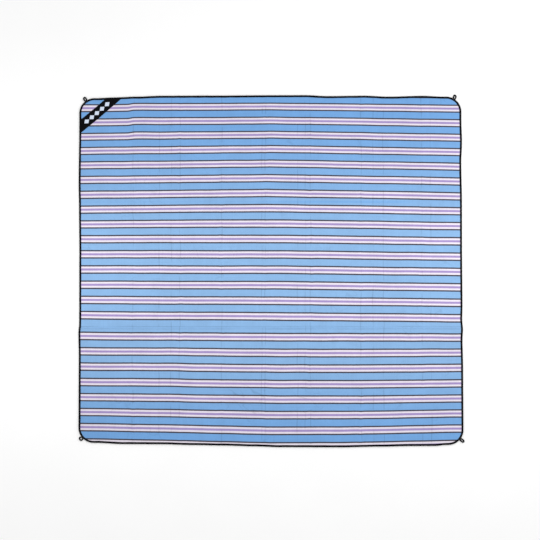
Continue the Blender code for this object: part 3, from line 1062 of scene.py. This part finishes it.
def make_corner_band():
    """Webbing across the back left corner, stitched down along both its sides, with a plain row of
    embroidered lozenges."""
    offs = np.linspace(-BAND_WIDTH / 2, BAND_WIDTH / 2, 15)
    near_end = np.array([0.0, 0.0035, 0.006, 0.0095, 0.014])
    rows = []
    for off in offs:
        first, last = band_reach(off)
        between = np.linspace(first + 0.020, last - 0.020, 44)
        rows.append(np.concatenate([first + near_end, between, last - near_end[::-1]]))
    along = np.stack(rows)
    out = np.repeat(offs[:, None], along.shape[1], axis=1)
    x, y = np.moveaxis(band_spot(along, out), -1, 0)
    depth = inset_at(x, y)
    rounded = 0.0002 * smooth((np.abs(out) - BAND_WIDTH / 2 + 0.0015) / 0.0015)
    top, bottom = lay(x, y, BAND_TOP(depth) - rounded), lay(x, y, BAND_BOTTOM(depth))
    cells = np.arange(x.size).reshape(x.shape)[:, ::-1]
    places = np.stack([along, out], axis=-1)
    band = closed_sheet("corner_band_webbing", cells, top, bottom, places, BAND)
    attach(band, "back")
    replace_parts(band, "corner_band")

    rows = []
    for off in (-BAND_WIDTH / 2 + 0.003, BAND_WIDTH / 2 - 0.003):
        first, last = band_reach(off)
        at = np.arange(first + 0.008, last - 0.011, 0.0045)
        starts = band_spot(at, off)
        line = stitch_line(starts, 0.0032, 0.0, BAND_ALONG)
        line[:, 4] = BAND_TOP(inset_at(*starts.T)) + 0.00005
        rows.append(line)
    sewing = make_stitches("corner_band_stitches", rows, 0.0003, BLACK_THREAD)
    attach(sewing, "back")
    make_emblems()


def make_emblems():
    """Plain lozenges in satin stitch, raised a little over the webbing."""
    points, faces, places = [], [], []
    middle = sum(band_reach(0.0)) / 2
    sides = np.arange(EMBLEM_SIDES)
    angles = sides * math.tau / EMBLEM_SIDES
    diamond = np.stack([np.cos(angles), np.sin(angles)], axis=-1)
    diamond *= EMBLEM_HALF / np.abs(diamond).sum(axis=1, keepdims=True)
    for k in range(EMBLEM_COUNT):
        centre = middle + (k - (EMBLEM_COUNT - 1) / 2) * EMBLEM_PITCH
        rings = []
        for size, height in EMBLEM_RINGS:
            rings.append(len(points) * EMBLEM_SIDES + sides)
            x, y = band_spot(centre + diamond[:, 0] * size, diamond[:, 1] * size).T
            points.append(lay(x, y, BAND_TOP(inset_at(x, y)) + height))
            places.append(diamond * size * (0.3, 1.0))
        faces += tube(rings)
    emblem = add_mesh("corner_band_lozenges", np.stack(points), faces, np.stack(places), EMBLEM)
    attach(emblem, "back")


# -------- camera, light and floor
CAMERA_DISTANCE = 6.03
CAMERA_TILT = math.radians(1.6)
CAMERA_TARGET = Vector((-0.0026, 0.0035, CLOTH_TOP))


def make_camera():
    data = bpy.data.cameras.new("camera")
    data.lens = 70.0
    data.sensor_width = 36.0
    camera = add_object("camera", data)
    back = Vector((0.0, -math.sin(CAMERA_TILT), math.cos(CAMERA_TILT)))
    camera.location = CAMERA_TARGET + back * CAMERA_DISTANCE
    camera.rotation_euler = (CAMERA_TILT, 0.0, 0.0)
    bpy.context.scene.camera = camera


def soft_box(name, place, aim, size, power):
    data = bpy.data.lights.new(name, "AREA")
    data.shape = "RECTANGLE"
    data.size, data.size_y = size
    data.energy = power
    light = add_object(name, data)
    light.location = place
    light.rotation_euler = (Vector(aim) - Vector(place)).to_track_quat("-Z", "Y").to_euler()
    light.visible_camera = False


def make_studio():
    world = bpy.data.worlds.new("studio")
    world.use_nodes = True
    background = world.node_tree.nodes["Background"]
    background.inputs["Color"].default_value = (1.0, 1.0, 1.0, 1.0)
    background.inputs["Strength"].default_value = 0.86
    bpy.context.scene.world = world
    bpy.context.scene.view_settings.view_transform = "Standard"
    soft_box("overhead_strip", (0.0, 0.03, 1.15), (0.0, 0.03, 0.0), (6.0, 0.5), 11.15)
    soft_box("low_right", (3.6, 2.6, 2.2), (0.0, 0.0, 0.0), (1.6, 1.6), 48.0)

    floor = flat_square("studio_floor", 30)
    floor.data.materials.append(studio_floor_material())
    floor.location = (0.0, 0.0, -0.0006)


def make_blanket():
    panels = make_panels()
    make_panel_seam()
    tape_long, stitches_long = make_binding(
        "long", 1, SEAM_BACK, BACK_FOLD_Y, BACK_BEND,
        ("binding_back", "binding_middle_left", "binding_middle_right"),
    )
    tape_short, stitches_short = make_binding(
        "short", -1, SEAM_BACK, FRONT_FOLD_Y, FRONT_BEND, ("binding_front",)
    )
    for corner, loop in LOOPS.items():
        tack = make_peg_loop(corner, **loop)
        (stitches_long if loop["sign"][1] > 0 else stitches_short).append(tack)
    bend_long(tape_long)
    bend_short(tape_short)
    for panel, rows, bend in (("long", stitches_long, bend_long), ("short", stitches_short, bend_short)):
        sewing = make_stitches(f"binding_stitches_{panel}_panel", rows, 0.00032, BLACK_THREAD)
        bend(sewing)
    make_corner_band()


make_camera()
make_studio()
make_blanket()
